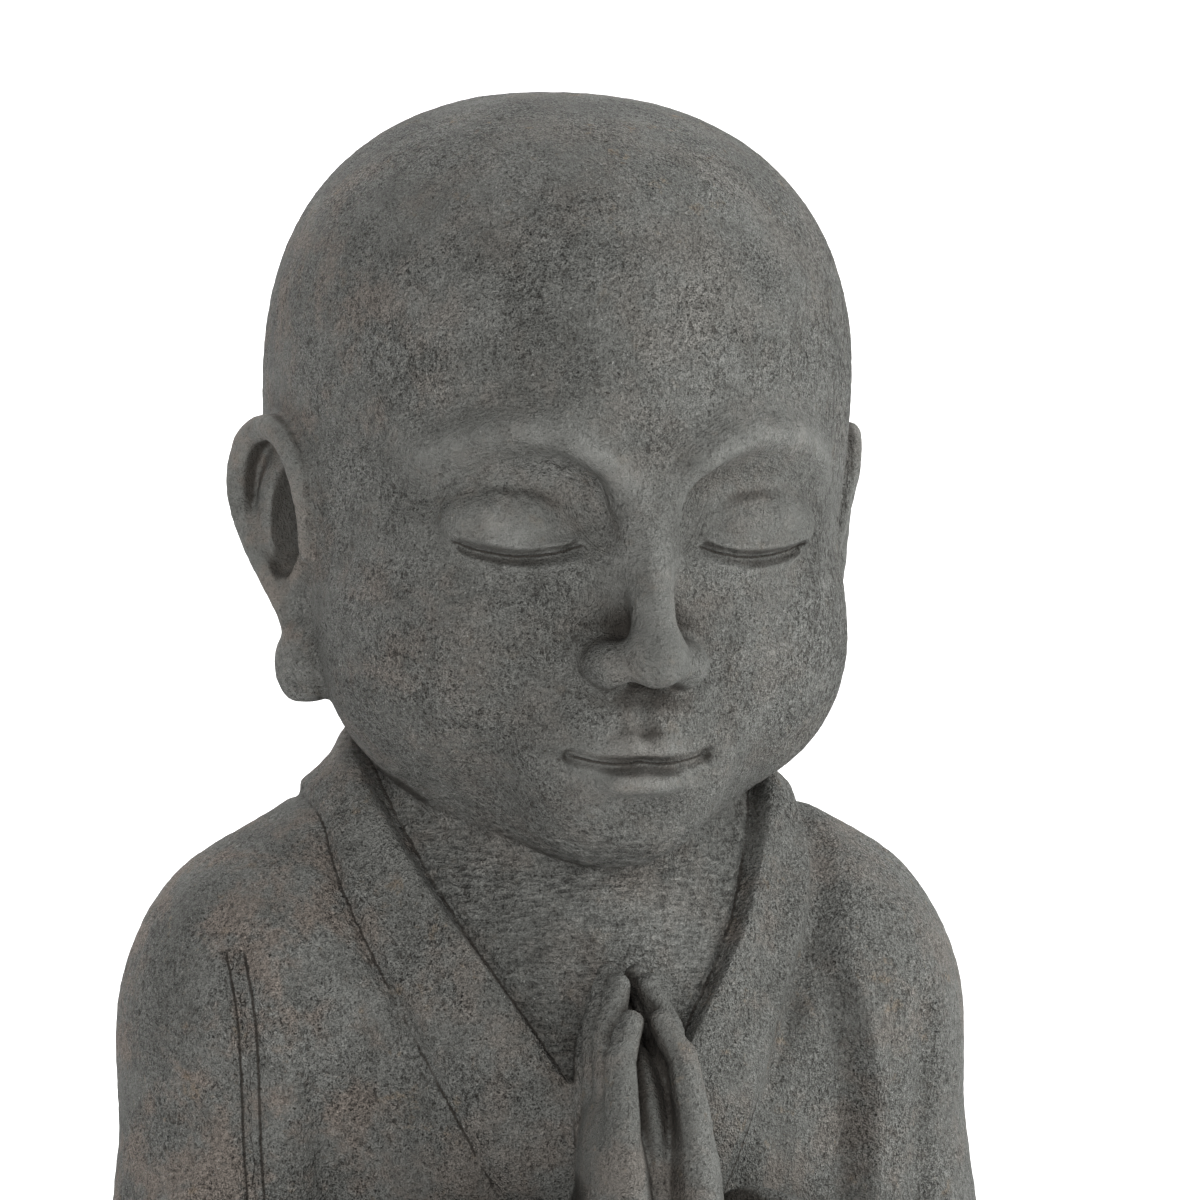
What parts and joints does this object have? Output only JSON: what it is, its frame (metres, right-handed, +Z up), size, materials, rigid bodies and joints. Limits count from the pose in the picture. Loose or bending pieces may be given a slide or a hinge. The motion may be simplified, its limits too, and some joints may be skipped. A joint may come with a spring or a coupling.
{
  "type": "praying monk bust",
  "caption": "Cast stone bust of a praying monk: shaved head bowed with closed eyes, long-lobed ears, robe with a crossed collar, palms joined at the chest, cut flat below so that it stands.",
  "frame": {"origin": "on the flat underside, straight below the neck", "axes": "+Z up; the figure faces -Y and its left hand is at +X"},
  "size_m": [0.3849, 0.2736, 0.5449],
  "materials": {
    "cast_stone": "matt grey cast stone, finely pitted and brushed, with warm brown tints in the recesses"
  },
  "bodies": {
    "root": {"monk_bust": "cast_stone"}
  },
  "joints": []
}
